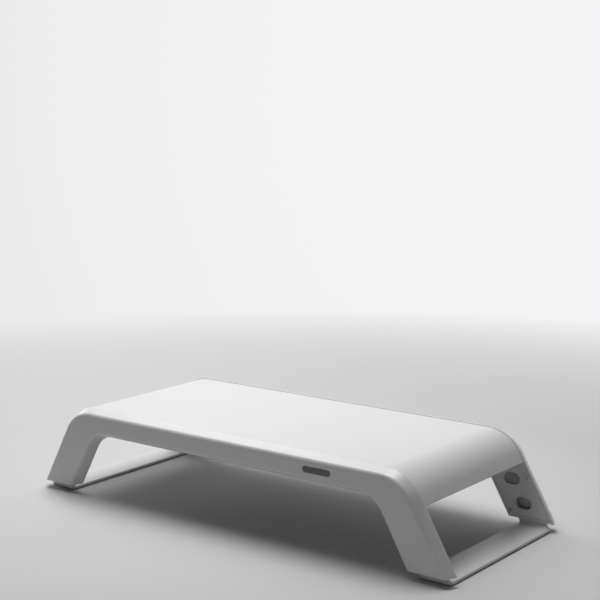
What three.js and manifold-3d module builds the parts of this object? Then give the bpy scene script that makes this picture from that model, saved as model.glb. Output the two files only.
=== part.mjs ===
// Monitor riser stand: a ribbed deck between two hollow arches, on two foot frames that slide in the legs.
// Millimetres. X runs along the width, -Y faces the user and +Z is up. The origin is the middle of the
// footprint. "Depth" is the distance behind the nearest outer face, so front and rear legs share one design.

import * as THREE from 'three';
import { mergeVertices } from 'three/addons/utils/BufferGeometryUtils.js';
import Module from 'manifold-3d';

const wasm = await Module();
wasm.setup();

// Overall
const HALF_DEPTH = 108;
const GAP = 0.3;
const OVERLAP = 1;

// Arch: the outline of its front face, and how the section grows behind that face
const HALF_SPAN = 270;
const LEG_BOTTOM = 9;
const LEG_WIDTH = 41;
const LEAN = THREE.MathUtils.degToRad(29.7);
const RAIL_TOP = 97;
const RAIL_BOTTOM = 76.7;
const OUTER_BEND = 40;
const INNER_BEND = 33;
const FLARE = 5;
const FLARE_DEPTH = 12;
const ARCH_DEPTH = 14;
const WALL = 2.5;
const REBATE_GROW = FLARE - WALL;

// Deck: a skin that follows the arches just below their edge, with ribs under it
const SKIN = 3;
const SKIN_GROW = 4.4;
const LIP_HEIGHT = 69.6;
const DECK_HALF_LENGTH = HALF_DEPTH - ARCH_DEPTH - GAP;
const RIB = 2.2;
const END_WALL_BOTTOM = 77.5;
const LONG_RIB_BOTTOM = 82;
const LONG_RIB_Y = [-54, -18, 18, 54];
const CROSS_RIB_BOTTOM = 85;
const CROSS_RIB_SPACING = 46;
const CROSS_RIBS_EACH_SIDE = 4;

// Screws from each arch's tabs up into the deck's bosses
const TAB_SCREW_X = [-165, -55, 55, 165];
const TAB_SCREW_DEPTH = 21;
const TAB = { halfWidth: 8, startDepth: 9.5, endDepth: 26, bottom: 73.8, top: 76.3 };
const BOSS_RADIUS = 4;
const BOSS_PILOT_TOP = 92;
const TAB_SCREW = { head: 3, headHeight: 1.8, shank: 1.3, length: 15 };

// Leg cover, flush in the rebate on each leg's inner side
const COVER_THICKNESS = 1.3;
const COVER_DEPTH = ARCH_DEPTH - COVER_THICKNESS;
const COVER_SCREWS = [{ offset: 20.5, height: 54 }, { offset: -20.5, height: 16 }];
const COVER_SCREW = { head: 2.5, headHeight: 1.1, shank: 1.1, length: 8 };
const COVER_BOSS_RADIUS = 2.8;

// Foot frame: a flat bar with a leaning upright at each end
const FOOT_DEPTH = 10;
const FOOT_WIDTH = 37;
const FOOT_UNDERSIDE = 1;
const FOOT_TOP = 4;
const FOOT_CORNER = 4;
const FOOT_CHAMFER = 0.7;
const FOOT_MIDDLE_HEIGHT = 2.5;
const UPRIGHT_WIDTH = 32;
const UPRIGHT_THICKNESS = 2.4;
const UPRIGHT_BACK = FOOT_DEPTH + UPRIGHT_THICKNESS;
const UPRIGHT_TOP = 71;
const UPRIGHT_FILLET = 4.5;
const SOLE_INSET = 1.5;
const SOLE_TOP = 1.9;

// Guides in each leg for the upright
const GUIDE_RIB = 1.8;
const GUIDE_LEDGE = 2.6;
const GUIDE_TOP = 68;
const STOP_THICKNESS = 2.5;

// Height latch: two oval holes in each cover, and a sprung button in the upright
const HOLE_PITCH = 28.5;
const UPPER_HOLE = 50.3;
const LOWER_HOLE = UPPER_HOLE - HOLE_PITCH * Math.cos(LEAN);
const HOLE_OVAL = [19, 12.7];
const UPRIGHT_OVAL = [18.6, 12.3];
const BUTTON_OVAL = [17.8, 11.5];
const FLANGE_OVAL = [21, 15];
const FLANGE_THICKNESS = 1.2;
const SPRING_WIDTH = 8;
const SPRING_THICKNESS = 0.5;
const SPRING_STAND_OFF = 3.3;
const RIVET_HEIGHT = 66.3;
const RIVET = { head: 2.4, headHeight: 1, shank: 1.3, length: 3.3 };

// Plain inlay on the front rail
const BADGE_OVAL = [34, 6];
const BADGE_X = 123;
const BADGE_HEIGHT = 86.9;
const BADGE_THICKNESS = 0.5;

const whitePlastic = new THREE.MeshStandardMaterial({ color: 0xe6e7e9, roughness: 0.5, metalness: 0 });
const footPlastic = new THREE.MeshStandardMaterial({ color: 0xdfe0e2, roughness: 0.45, metalness: 0 });
const darkPlastic = new THREE.MeshStandardMaterial({ color: 0x5c5e61, roughness: 0.55, metalness: 0 });
const greyPlastic = new THREE.MeshStandardMaterial({ color: 0x949698, roughness: 0.5, metalness: 0 });
const rubber = new THREE.MeshStandardMaterial({ color: 0x1d1e20, roughness: 0.85, metalness: 0 });
const steel = new THREE.MeshStandardMaterial({ color: 0xa8abb0, roughness: 0.35, metalness: 1 });

const tanLean = Math.tan(LEAN);
const cosLean = Math.cos(LEAN);

// ---------- solids ----------

function solid(geometry) {
  const bare = geometry.clone();
  bare.deleteAttribute('normal');
  bare.deleteAttribute('uv');
  const merged = mergeVertices(bare, 1e-4);
  const vertProperties = new Float32Array(merged.attributes.position.array);
  const triVerts = new Uint32Array(merged.index.array);
  return new wasm.Manifold(new wasm.Mesh({ numProp: 3, vertProperties, triVerts }));
}

function geometryOf(body) {
  const mesh = body.getMesh();
  const geometry = new THREE.BufferGeometry();
  geometry.setAttribute('position', new THREE.BufferAttribute(mesh.vertProperties, 3));
  geometry.setIndex(new THREE.BufferAttribute(mesh.triVerts, 1));
  return geometry;
}

function joined(...bodies) {
  return bodies.reduce((sum, body) => sum.add(body));
}

// A copy reflected in X, in Y or in both, with its faces turned back out.
function reflected(geometry, sideX, sideY) {
  const copy = geometry.clone();
  copy.scale(sideX, sideY, 1);
  if (sideX * sideY < 0) {
    const index = copy.index.array;
    for (let i = 0; i < index.length; i += 3) {
      [index[i], index[i + 1]] = [index[i + 1], index[i]];
    }
  }
  return copy;
}

function box(xRange, yRange, zRange) {
  const ranges = [xRange, yRange, zRange];
  const size = ranges.map(([low, high]) => high - low);
  const middle = ranges.map(([low, high]) => (low + high) / 2);
  return new THREE.BoxGeometry(...size).translate(...middle);
}

function cylinderAlongY(x, z, yRange, radius, segments = 16) {
  const geometry = new THREE.CylinderGeometry(radius, radius, yRange[1] - yRange[0], segments);
  return geometry.translate(x, (yRange[0] + yRange[1]) / 2, z);
}

function cylinderAlongZ(x, y, zRange, radius, segments = 16) {
  const geometry = new THREE.CylinderGeometry(radius, radius, zRange[1] - zRange[0], segments);
  return geometry.rotateX(Math.PI / 2).translate(x, y, (zRange[0] + zRange[1]) / 2);
}

// An outline in X and Z, extruded along Y.
function prismAlongY(shape, yRange, curveSegments = 6) {
  const depth = yRange[1] - yRange[0];
  const geometry = new THREE.ExtrudeGeometry(shape, { depth, curveSegments, bevelEnabled: false });
  return geometry.rotateX(Math.PI / 2).translate(0, yRange[1], 0);
}

// ---------- outlines ----------

// A closed outline through corners [x, y] or [x, y, bend radius].
function outline(corners) {
  const shape = new THREE.Shape();
  const points = corners.map(([x, y]) => new THREE.Vector2(x, y));
  corners.forEach(([x, y, bend], i) => {
    if (!bend) {
      if (i === 0) shape.moveTo(x, y);
      else shape.lineTo(x, y);
      return;
    }
    const corner = points[i];
    const back = points.at(i - 1).clone().sub(corner).normalize();
    const ahead = points[(i + 1) % points.length].clone().sub(corner).normalize();
    const halfAngle = Math.acos(back.dot(ahead)) / 2;
    const run = bend / Math.tan(halfAngle);
    const start = corner.clone().addScaledVector(back, run);
    const end = corner.clone().addScaledVector(ahead, run);
    const inward = back.clone().add(ahead).normalize();
    const centre = corner.clone().addScaledVector(inward, bend / Math.sin(halfAngle));
    const from = start.sub(centre).angle();
    const to = end.sub(centre).angle();
    shape.absarc(centre.x, centre.y, bend, from, to, back.cross(ahead) > 0);
  });
  return shape;
}

function roundedRectangle(width, height, corner) {
  const x = width / 2;
  const y = height / 2;
  return outline([[x, -y, corner], [x, y, corner], [-x, y, corner], [-x, -y, corner]]);
}

function oval([width, height], x = 0, z = 0) {
  const radius = height / 2;
  const reach = width / 2 - radius;
  const shape = new THREE.Shape();
  shape.absarc(x + reach, z, radius, -Math.PI / 2, Math.PI / 2, false);
  shape.absarc(x - reach, z, radius, Math.PI / 2, 1.5 * Math.PI, false);
  return shape;
}

// The leg's outer and inner edges and its centre line at a height, with the edges moved out by grow.
function legOuter(height, grow = 0) {
  return HALF_SPAN + grow / cosLean - (height - LEG_BOTTOM) * tanLean;
}

function legInner(height, grow = 0) {
  return HALF_SPAN - LEG_WIDTH - grow / cosLean - (height - LEG_BOTTOM) * tanLean;
}

function legCentre(height) {
  return (legOuter(height) + legInner(height)) / 2;
}

// The arch's outline with its outer and inner edges moved out. The legs end level unless innerBottom differs.
function archOutline({
  outer = 0, inner = 0, railBottom = RAIL_BOTTOM - inner, legBottom = LEG_BOTTOM, innerBottom = legBottom,
}) {
  const top = RAIL_TOP + outer;
  const outerBend = OUTER_BEND + outer;
  const innerBend = INNER_BEND - inner;
  return outline([
    [legInner(innerBottom, inner), innerBottom],
    [legOuter(legBottom, outer), legBottom],
    [legOuter(top, outer), top, outerBend],
    [-legOuter(top, outer), top, outerBend],
    [-legOuter(legBottom, outer), legBottom],
    [-legInner(innerBottom, inner), innerBottom],
    [-legInner(railBottom, inner), railBottom, innerBend],
    [legInner(railBottom, inner), railBottom, innerBend],
  ]);
}

// ---------- leg coordinates ----------

// Moves a shape drawn about x = 0 onto the right leg: each height is shifted to the leg's centre line there.
function leaned(geometry) {
  const shear = new THREE.Matrix4().set(
    1, 0, -tanLean, legCentre(0),
    0, 1, 0, 0,
    0, 0, 1, 0,
    0, 0, 0, 1,
  );
  return geometry.applyMatrix4(shear);
}

function atDepth(depth) {
  return depth - HALF_DEPTH;
}

function depths(start, end) {
  return [atDepth(start), atDepth(end)];
}

function ovalThroughLeg(size, height, depthRange) {
  return solid(prismAlongY(oval(size, legCentre(height), height), depths(...depthRange), 4));
}

// ---------- arches ----------

// The arch's outline growing outward behind its front face. Its legs end square, then are cut level.
function flaredArch({ startDepth, offset, bottom }) {
  const legBottom = LEG_BOTTOM - 2 * FLARE;
  const innerBottom = legBottom - LEG_WIDTH * cosLean * Math.sin(LEAN);
  const geometry = new THREE.ExtrudeGeometry(archOutline({ legBottom, innerBottom }), {
    depth: ARCH_DEPTH,
    curveSegments: 6,
    bevelEnabled: true,
    bevelSegments: 1,
    bevelThickness: FLARE_DEPTH,
    bevelSize: FLARE,
    bevelOffset: offset,
  });
  geometry.rotateX(Math.PI / 2).translate(0, atDepth(startDepth) + ARCH_DEPTH + FLARE_DEPTH, 0);
  const keep = box([-HALF_SPAN - 20, HALF_SPAN + 20], depths(-1, ARCH_DEPTH), [bottom, 2 * RAIL_TOP]);
  return solid(geometry).intersect(solid(keep));
}

// Ribs that guide one upright, the stop above it and the bosses for one cover's screws.
function legFittings() {
  const slot = UPRIGHT_WIDTH / 2 + GAP;
  const heights = [LEG_BOTTOM, GUIDE_TOP];
  const parts = [];
  for (const side of [-1, 1]) {
    const rib = [side * slot, side * (slot + GUIDE_RIB)].sort((a, b) => a - b);
    const ledge = [side * (slot - GUIDE_LEDGE), side * (slot + GUIDE_RIB)].sort((a, b) => a - b);
    parts.push(solid(leaned(box(rib, depths(1, COVER_DEPTH - GAP), heights))));
    parts.push(solid(leaned(box(ledge, depths(1, FOOT_DEPTH - GAP), heights))));
  }
  const stopHeights = [UPRIGHT_TOP + GAP, UPRIGHT_TOP + GAP + STOP_THICKNESS];
  parts.push(solid(leaned(box([-slot, slot], depths(1, COVER_DEPTH - GAP), stopHeights))));
  for (const { offset, height } of COVER_SCREWS) {
    const x = legCentre(height) + offset;
    parts.push(solid(cylinderAlongY(x, height, depths(1, COVER_DEPTH - GAP), COVER_BOSS_RADIUS)));
  }
  return joined(...parts);
}

function legCuts() {
  const slot = UPRIGHT_WIDTH / 2 + GAP;
  const slotDepths = depths(FOOT_DEPTH - GAP, UPRIGHT_BACK + GAP);
  const parts = [solid(leaned(box([-slot, slot], slotDepths, [0, LEG_BOTTOM + 2 * WALL])))];
  for (const { offset, height } of COVER_SCREWS) {
    const x = legCentre(height) + offset;
    const pilot = COVER_SCREW.shank + GAP;
    parts.push(solid(cylinderAlongY(x, height, depths(5, ARCH_DEPTH), pilot, 10)));
  }
  return joined(...parts);
}

function onBothSides(body) {
  return body.add(solid(reflected(geometryOf(body), -1, 1)));
}

function arch() {
  const outside = flaredArch({ startDepth: 0, offset: 0, bottom: LEG_BOTTOM });
  const hollow = flaredArch({ startDepth: WALL, offset: -WALL, bottom: LEG_BOTTOM + WALL });
  const rebateShape = archOutline({
    outer: REBATE_GROW,
    inner: REBATE_GROW,
    legBottom: LEG_BOTTOM + WALL,
  });
  const rebate = solid(prismAlongY(rebateShape, depths(COVER_DEPTH - GAP, ARCH_DEPTH + OVERLAP)));
  let body = outside.subtract(hollow).subtract(rebate);
  body = body.add(onBothSides(legFittings()).intersect(outside));
  body = body.subtract(onBothSides(legCuts()));
  for (const x of TAB_SCREW_X) {
    const tab = box(
      [x - TAB.halfWidth, x + TAB.halfWidth],
      depths(TAB.startDepth, TAB.endDepth),
      [TAB.bottom, TAB.top],
    );
    const hole = cylinderAlongZ(
      x, atDepth(TAB_SCREW_DEPTH), [TAB.bottom - OVERLAP, TAB.top + OVERLAP], TAB_SCREW.shank + 2 * GAP, 12,
    );
    body = body.add(solid(tab)).subtract(solid(hole));
  }
  return body;
}

function frontArch() {
  const recessSize = BADGE_OVAL.map((side) => side + 2 * GAP);
  const recessShape = oval(recessSize, BADGE_X, BADGE_HEIGHT);
  const recess = prismAlongY(recessShape, depths(-OVERLAP, BADGE_THICKNESS + GAP), 4);
  return geometryOf(arch().subtract(solid(recess)));
}

function rearArch() {
  return reflected(geometryOf(arch()), 1, -1);
}

function badge() {
  return prismAlongY(oval(BADGE_OVAL), [0, BADGE_THICKNESS], 4);
}

// ---------- deck ----------

function skin() {
  const edge = (grow) => {
    const top = RAIL_TOP + grow;
    const bend = OUTER_BEND + grow;
    return [
      [-legOuter(LIP_HEIGHT, grow), LIP_HEIGHT],
      [-legOuter(top, grow), top, bend],
      [legOuter(top, grow), top, bend],
      [legOuter(LIP_HEIGHT, grow), LIP_HEIGHT],
    ];
  };
  const strip = outline([...edge(SKIN_GROW), ...edge(SKIN_GROW - SKIN).reverse()]);
  return solid(prismAlongY(strip, [-DECK_HALF_LENGTH, DECK_HALF_LENGTH]));
}

// A wall across the width, from the middle of the skin down to its own lower edge.
function wallUnderSkin(railBottom, inner, yRange) {
  const shape = archOutline({ outer: SKIN_GROW - SKIN / 2, inner, railBottom });
  const keep = box([-HALF_SPAN, HALF_SPAN], [-HALF_DEPTH, HALF_DEPTH], [LIP_HEIGHT + OVERLAP / 2, RAIL_TOP + SKIN_GROW]);
  return solid(prismAlongY(shape, yRange)).intersect(solid(keep));
}

function deckPanel() {
  let body = skin();
  const underSkin = RAIL_TOP + SKIN_GROW - SKIN + OVERLAP;
  const end = DECK_HALF_LENGTH;
  body = body.add(wallUnderSkin(END_WALL_BOTTOM, 0, [-end, -end + RIB]));
  body = body.add(wallUnderSkin(END_WALL_BOTTOM, 0, [end - RIB, end]));
  for (const y of LONG_RIB_Y) {
    body = body.add(wallUnderSkin(LONG_RIB_BOTTOM, -12, [y - RIB / 2, y + RIB / 2]));
  }
  for (let i = -CROSS_RIBS_EACH_SIDE; i <= CROSS_RIBS_EACH_SIDE; i += 1) {
    const x = i * CROSS_RIB_SPACING;
    const rib = box([x - RIB / 2, x + RIB / 2], [-end, end], [CROSS_RIB_BOTTOM, underSkin]);
    body = body.add(solid(rib));
  }
  const bossBottom = TAB.top + GAP;
  for (const x of TAB_SCREW_X) {
    for (const side of [-1, 1]) {
      const y = -side * atDepth(TAB_SCREW_DEPTH);
      const boss = cylinderAlongZ(x, y, [bossBottom, underSkin], BOSS_RADIUS);
      const pilot = cylinderAlongZ(x, y, [bossBottom - OVERLAP, BOSS_PILOT_TOP], TAB_SCREW.shank + GAP, 12);
      body = body.add(solid(boss)).subtract(solid(pilot));
    }
  }
  return geometryOf(body);
}

// ---------- leg covers ----------

function legCover() {
  const grow = REBATE_GROW - GAP;
  const bottom = LEG_BOTTOM + WALL + GAP;
  const shape = archOutline({ outer: grow, inner: grow, legBottom: bottom });
  const keep = box([0, 2 * HALF_SPAN], depths(0, 2 * ARCH_DEPTH), [bottom - OVERLAP, LIP_HEIGHT - GAP]);
  let body = solid(prismAlongY(shape, depths(COVER_DEPTH, ARCH_DEPTH))).intersect(solid(keep));
  const through = [COVER_DEPTH - OVERLAP, ARCH_DEPTH + OVERLAP];
  for (const height of [UPPER_HOLE, LOWER_HOLE]) {
    body = body.subtract(ovalThroughLeg(HOLE_OVAL, height, through));
  }
  for (const { offset, height } of COVER_SCREWS) {
    const x = legCentre(height) + offset;
    const hole = cylinderAlongY(x, height, depths(...through), COVER_SCREW.shank + GAP, 12);
    body = body.subtract(solid(hole));
  }
  return geometryOf(body);
}

// ---------- foot frames ----------

function upright() {
  const front = atDepth(FOOT_DEPTH);
  const back = atDepth(UPRIGHT_BACK);
  const foot = back + UPRIGHT_FILLET;
  const base = (FOOT_UNDERSIDE + FOOT_TOP) / 2;
  const side = new THREE.Shape();
  side.moveTo(front + FOOT_CHAMFER, base);
  side.lineTo(front + FOOT_CHAMFER / 2, FOOT_TOP);
  side.lineTo(front, FOOT_TOP + FOOT_CHAMFER);
  side.lineTo(front, UPRIGHT_TOP);
  side.lineTo(back, UPRIGHT_TOP);
  side.absarc(foot, FOOT_TOP + UPRIGHT_FILLET, UPRIGHT_FILLET, Math.PI, 1.5 * Math.PI, false);
  side.lineTo(foot, base);
  const geometry = new THREE.ExtrudeGeometry(side, {
    depth: UPRIGHT_WIDTH,
    curveSegments: 3,
    bevelEnabled: false,
  });
  const sideways = new THREE.Matrix4().makeBasis(
    new THREE.Vector3(0, 1, 0),
    new THREE.Vector3(0, 0, 1),
    new THREE.Vector3(1, 0, 0),
  );
  geometry.applyMatrix4(sideways).translate(-UPRIGHT_WIDTH / 2, 0, 0);
  let body = solid(leaned(geometry));
  const through = [FOOT_DEPTH - OVERLAP, UPRIGHT_BACK + OVERLAP];
  for (const height of [UPPER_HOLE, LOWER_HOLE]) {
    body = body.subtract(ovalThroughLeg(UPRIGHT_OVAL, height, through));
  }
  const rivetHole = cylinderAlongY(
    legCentre(RIVET_HEIGHT), RIVET_HEIGHT, depths(...through), RIVET.shank + GAP, 12,
  );
  return body.subtract(solid(rivetHole));
}

function footBar() {
  const shape = roundedRectangle(FOOT_WIDTH, 2 * (HALF_DEPTH - FOOT_DEPTH), FOOT_CORNER);
  const geometry = new THREE.ExtrudeGeometry(shape, {
    depth: FOOT_TOP - FOOT_UNDERSIDE - 2 * FOOT_CHAMFER,
    curveSegments: 3,
    bevelEnabled: true,
    bevelSegments: 1,
    bevelThickness: FOOT_CHAMFER,
    bevelSize: FOOT_CHAMFER,
    bevelOffset: -FOOT_CHAMFER,
  });
  geometry.translate(legCentre(FOOT_MIDDLE_HEIGHT), 0, FOOT_UNDERSIDE + FOOT_CHAMFER);
  return solid(geometry);
}

// The sole's outline, grown for the groove that it sits in.
function solePlate(grow, bottom, top) {
  const inset = SOLE_INSET - grow;
  const length = 2 * (HALF_DEPTH - FOOT_DEPTH - inset);
  const shape = roundedRectangle(FOOT_WIDTH - 2 * inset, length, FOOT_CORNER - inset);
  const geometry = new THREE.ExtrudeGeometry(shape, {
    depth: top - bottom,
    curveSegments: 3,
    bevelEnabled: false,
  });
  return geometry.translate(0, 0, bottom);
}

function footFrame() {
  const front = upright();
  const rear = solid(reflected(geometryOf(front), 1, -1));
  const groove = solePlate(GAP, FOOT_UNDERSIDE - OVERLAP, SOLE_TOP + GAP);
  groove.translate(legCentre(FOOT_MIDDLE_HEIGHT), 0, 0);
  return geometryOf(joined(footBar(), front, rear).subtract(solid(groove)));
}

// ---------- latch ----------

function latchButton() {
  const flangeBack = FOOT_DEPTH - GAP;
  const flangeFront = flangeBack - FLANGE_THICKNESS;
  const stem = ovalThroughLeg(BUTTON_OVAL, UPPER_HOLE, [flangeFront + GAP, UPRIGHT_BACK - 0.1]);
  const flange = ovalThroughLeg(FLANGE_OVAL, UPPER_HOLE, [flangeFront, flangeBack]);
  return geometryOf(stem.add(flange));
}

// A leaf riveted to the upright, stepping out to lie behind the button.
function latchSpring() {
  const root = atDepth(FOOT_DEPTH - GAP);
  const tip = root - SPRING_STAND_OFF;
  const t = SPRING_THICKNESS;
  const profile = outline([
    [root, 69.6], [root - t, 69.6], [root - t, 62.2], [tip - t, 58.4],
    [tip - t, 47], [tip, 47], [tip, 58.2], [root, 62],
  ]);
  const geometry = new THREE.ExtrudeGeometry(profile, { depth: SPRING_WIDTH, bevelEnabled: false });
  const sideways = new THREE.Matrix4().makeBasis(
    new THREE.Vector3(0, 1, 0),
    new THREE.Vector3(0, 0, 1),
    new THREE.Vector3(1, 0, 0),
  );
  geometry.applyMatrix4(sideways).translate(-SPRING_WIDTH / 2, 0, 0);
  const hole = cylinderAlongY(
    legCentre(RIVET_HEIGHT), RIVET_HEIGHT, depths(FOOT_DEPTH - 3, FOOT_DEPTH + 3), RIVET.shank + GAP, 12,
  );
  return geometryOf(solid(leaned(geometry)).subtract(solid(hole)));
}

// ---------- fasteners ----------

// A round head below z = 0 with its shank above, and a hexagonal socket when asked for.
function fastener({ head, headHeight, shank, length }, socket) {
  const profile = [[0, -headHeight], [head, -headHeight], [head, 0], [shank, 0], [shank, length], [0, length]];
  const points = profile.map(([radius, height]) => new THREE.Vector2(radius, height));
  const turned = new THREE.LatheGeometry(points, 12).rotateX(Math.PI / 2);
  if (!socket) return geometryOf(solid(turned));
  const depth = headHeight * 0.7;
  const driver = cylinderAlongZ(0, 0, [-headHeight - OVERLAP, -headHeight + depth], head * 0.45, 6);
  return geometryOf(solid(turned).subtract(solid(driver)));
}

// ---------- assembly ----------

function addMesh(parent, name, geometry, material) {
  geometry.computeVertexNormals();
  const mesh = new THREE.Mesh(geometry, material);
  mesh.name = name;
  parent.add(mesh);
  return mesh;
}

const stand = new THREE.Group();

const table = new THREE.Group();
stand.add(table);
addMesh(table, 'deck_panel', deckPanel(), whitePlastic);
addMesh(table, 'front_arch', frontArch(), whitePlastic);
addMesh(table, 'rear_arch', rearArch(), whitePlastic);
const inlay = addMesh(table, 'rail_badge', badge(), darkPlastic);
inlay.position.set(BADGE_X, -HALF_DEPTH, BADGE_HEIGHT);

const ends = [{ name: 'front', side: -1 }, { name: 'rear', side: 1 }];
const sides = [{ name: 'left', side: -1 }, { name: 'right', side: 1 }];

for (const end of ends) {
  TAB_SCREW_X.forEach((x, i) => {
    const screw = addMesh(table, `arch_screw_${end.name}_${i + 1}`, fastener(TAB_SCREW, true), steel);
    screw.position.set(x, end.side * (HALF_DEPTH - TAB_SCREW_DEPTH), TAB.bottom - GAP);
  });
}

for (const { name: sideName, side } of sides) {
  const foot = new THREE.Group();
  stand.add(foot);
  addMesh(foot, `foot_frame_${sideName}`, reflected(footFrame(), side, 1), footPlastic);
  const sole = addMesh(foot, `foot_sole_${sideName}`, solePlate(0, 0, SOLE_TOP), rubber);
  sole.position.x = side * legCentre(FOOT_MIDDLE_HEIGHT);

  for (const { name: endName, side: end } of ends) {
    const where = `${endName}_${sideName}`;
    const place = (geometry) => reflected(geometry, side, -end);
    addMesh(table, `leg_cover_${where}`, place(legCover()), whitePlastic);
    addMesh(foot, `latch_button_${where}`, place(latchButton()), greyPlastic);
    addMesh(foot, `latch_spring_${where}`, place(latchSpring()), steel);

    // The rivet's head is on the spring, and its shank points to the cover.
    const rivet = addMesh(foot, `spring_rivet_${where}`, fastener(RIVET, false), steel);
    const rivetDepth = FOOT_DEPTH - GAP - SPRING_THICKNESS - GAP;
    rivet.rotation.x = end * Math.PI / 2;
    rivet.position.set(side * legCentre(RIVET_HEIGHT), end * (HALF_DEPTH - rivetDepth), RIVET_HEIGHT);

    // The cover's screws are driven from the inner side, into the leg.
    COVER_SCREWS.forEach(({ offset, height }, i) => {
      const screw = addMesh(table, `cover_screw_${where}_${i + 1}`, fastener(COVER_SCREW, true), steel);
      screw.rotation.x = -end * Math.PI / 2;
      screw.position.set(side * (legCentre(height) + offset), end * (HALF_DEPTH - ARCH_DEPTH - GAP), height);
    });
  }
}

export default stand;
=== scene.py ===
"""Looks for the monitor riser stand: smooth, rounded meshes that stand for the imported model's solids.

Shapes are written in millimetres and scaled to metres once, when a mesh is made. "Depth" is the distance
behind the front face, and "growth" is how far an outline is moved out. The rear is a mirror image of the
front, and the left of the right."""

import math

import bmesh
import bpy
from mathutils import Matrix, Vector


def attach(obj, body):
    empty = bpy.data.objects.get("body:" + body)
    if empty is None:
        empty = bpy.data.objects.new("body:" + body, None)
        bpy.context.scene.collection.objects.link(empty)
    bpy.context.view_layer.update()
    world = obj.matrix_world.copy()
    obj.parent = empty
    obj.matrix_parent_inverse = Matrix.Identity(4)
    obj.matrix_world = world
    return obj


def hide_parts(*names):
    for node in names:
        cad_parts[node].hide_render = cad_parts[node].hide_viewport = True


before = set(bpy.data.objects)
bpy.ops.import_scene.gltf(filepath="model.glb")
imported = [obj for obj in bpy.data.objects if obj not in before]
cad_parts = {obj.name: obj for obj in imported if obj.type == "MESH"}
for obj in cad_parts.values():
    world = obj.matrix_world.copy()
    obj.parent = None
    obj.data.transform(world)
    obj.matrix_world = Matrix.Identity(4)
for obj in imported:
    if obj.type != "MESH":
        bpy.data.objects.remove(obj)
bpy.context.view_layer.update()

MM = 0.001
HALF_DEPTH = 108.0
GAP = 0.3
CUT_BEYOND = 1.0  # how far a cutter reaches past the faces it opens

# Arch
HALF_SPAN = 270.0
LEG_BOTTOM = 9.0
LEG_WIDTH = 41.0
LEAN = math.radians(29.7)
RAIL_TOP = 97.0
RAIL_BOTTOM = 76.7
OUTER_BEND = 40.0
INNER_BEND = 33.0
FLARE = 5.0
FLARE_DEPTH = 12.0
ARCH_DEPTH = 14.0
WALL = 2.5
REBATE_GROW = FLARE - WALL
FACE_RADIUS = 4.5
RIDGE_RADIUS = 2.5
BACK_RADIUS = 0.25
LEG_END_RADIUS = 0.5
BEND_STEPS = 28

# Deck
SKIN = 3.0
SKIN_GROW = 4.4
LIP_HEIGHT = 69.6
LIP_RADIUS = 0.9
LIP_INNER_RADIUS = 0.7
DECK_SEAM = 0.12
DECK_EDGE = 0.25
DECK_HALF_LENGTH = HALF_DEPTH - ARCH_DEPTH - DECK_SEAM
RIB = 2.2
RIB_EDGE = 0.4
BOSS_RADIUS = 4.0
BOSS_EDGE = 0.3
PILOT_TOP = 92.0
END_WALL_SETBACK = 0.1
END_WALL_BOTTOM = 77.5
LONG_RIB_BOTTOM = 82.0
LONG_RIB_INSET = 12.0  # how far the long ribs stand back in the bends, where the end walls don't
LONG_RIB_Y = (-54, -18, 18, 54)
CROSS_RIB_SETBACK = 0.5
CROSS_RIB_BOTTOM = 85.0
CROSS_RIB_X = (-184, -138, -92, -46, 0, 46, 92, 138, 184)

# Screws between arches and deck
TAB_SCREW_X = (-165, -55, 55, 165)
TAB_SCREW_DEPTH = 21.0
TAB_HALF_WIDTH = 8.0
TAB_DEPTHS = (9.5, 26.0)
TAB_HEIGHTS = (73.8, 76.3)
TAB_EDGE = 0.4
TAB_HOLE_EDGE = 0.3
TAB_SCREW = {"head": 3.0, "head_height": 1.8, "shank": 1.3, "length": 15.0, "pitch": 1.1}

# Every screw's thread and tip
THREAD_DEPTH = 0.18
THREAD_SLOPE = 3.2
TIP_TURNS = 1.2
TIP_SHARE = 0.35
SHANK_ROOT = 0.21  # how far a shank starts inside its head

# Leg covers
COVER_DEPTH = 12.7
COVER_SCREWS = ((20.5, 54.0), (-20.5, 16.0))
COVER_SCREW = {"head": 2.5, "head_height": 1.1, "shank": 1.1, "length": 8.0, "pitch": 0.9}
COVER_BOSS_RADIUS = 2.8
COVER_BOSS_DEPTH = 6.5
COVER_PILOT_DEPTH = 5.0
COVER_EDGE = 0.3
COVER_SCREW_HOLE_EDGE = 0.2

# Guides inside the legs, for the uprights
GUIDE_TOP = 68.0
GUIDE_RIB = 1.8
GUIDE_LEDGE = 2.6
GUIDE_LEDGE_OVERLAP = 1.0
STOP_HEIGHT = 2.5
SLOT_TOP = 14.0

# Foot frames
FOOT_DEPTH = 10.0
FOOT_WIDTH = 37.0
FOOT_UNDERSIDE = 1.0
FOOT_TOP = 4.0
FOOT_CORNER = 4.0
FOOT_EDGE = 0.7
FOOT_MIDDLE_HEIGHT = 2.5
UPRIGHT_WIDTH = 32.0
UPRIGHT_BACK = 12.4
UPRIGHT_TOP = 71.0
UPRIGHT_FILLET = 4.5
UPRIGHT_EDGE = 0.4
UPRIGHT_CORNER = 0.8
UPRIGHT_BASE = 2.4
UPRIGHT_TOE_ROUND = 1.0
SOLE_INSET = 1.5
SOLE_TOP = 1.9
SOLE_EDGE = 0.3
SOLE_GROOVES = 23
SOLE_GROOVE_SPACING = 8.0
SOLE_GROOVE_HALF_LENGTH = 13.0
SOLE_GROOVE_HALF_WIDTH = 0.8
SOLE_GROOVE_DEPTH = 0.45

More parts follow.
